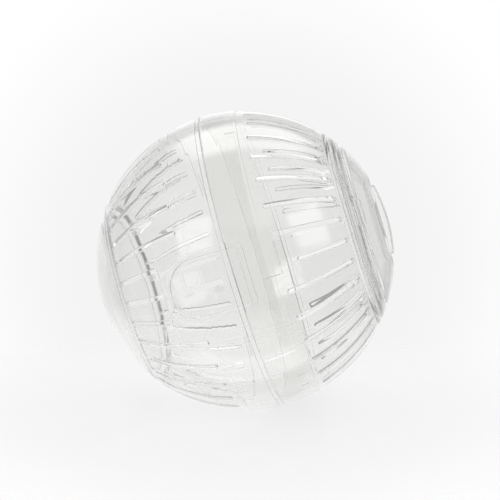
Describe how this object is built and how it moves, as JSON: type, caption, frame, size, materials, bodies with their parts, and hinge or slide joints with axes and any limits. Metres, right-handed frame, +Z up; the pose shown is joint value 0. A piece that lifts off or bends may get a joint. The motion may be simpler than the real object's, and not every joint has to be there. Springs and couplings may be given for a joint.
{
  "type": "hamster ball",
  "caption": "Clear slotted exercise ball for a hamster, in twist-lock halves with an end cap, a lock ring and a lift-off lid with a grip.",
  "frame": {"origin": "centre of the ball", "axes": "+X along the ball's axis towards the lid, +Z up, -Y towards the side with the thumb pad"},
  "size_m": [0.139, 0.1408, 0.14],
  "materials": {
    "clear_shell": "clear moulded polystyrene, polished mould, colourless",
    "clear_end": "clear moulded polystyrene, polished mould, colourless",
    "clear_ring": "clear moulded polystyrene, polished mould, colourless",
    "clear_lid": "clear moulded polystyrene, polished mould, colourless"
  },
  "bodies": {
    "left_half": {"left_half_shell": "clear_shell", "end_cap": "clear_end"},
    "right_half": {"right_half_shell": "clear_shell"},
    "ring": {"lock_ring": "clear_ring"},
    "lid": {"lid": "clear_lid"}
  },
  "joints": [
    {"name": "halves_twist", "type": "hinge", "parent": "left_half", "child": "right_half", "pos_m": [0, 0, 0], "axis": [1, 0, 0], "range_deg": [0, 15]},
    {"name": "ring_turn", "type": "hinge", "parent": "right_half", "child": "ring", "pos_m": [0, 0, 0], "axis": [1, 0, 0], "range_deg": [0, 24]},
    {"name": "lid_lift", "type": "slide", "parent": "right_half", "child": "lid", "axis": [1, 0, 0], "range_m": [0, 0.06]}
  ]
}
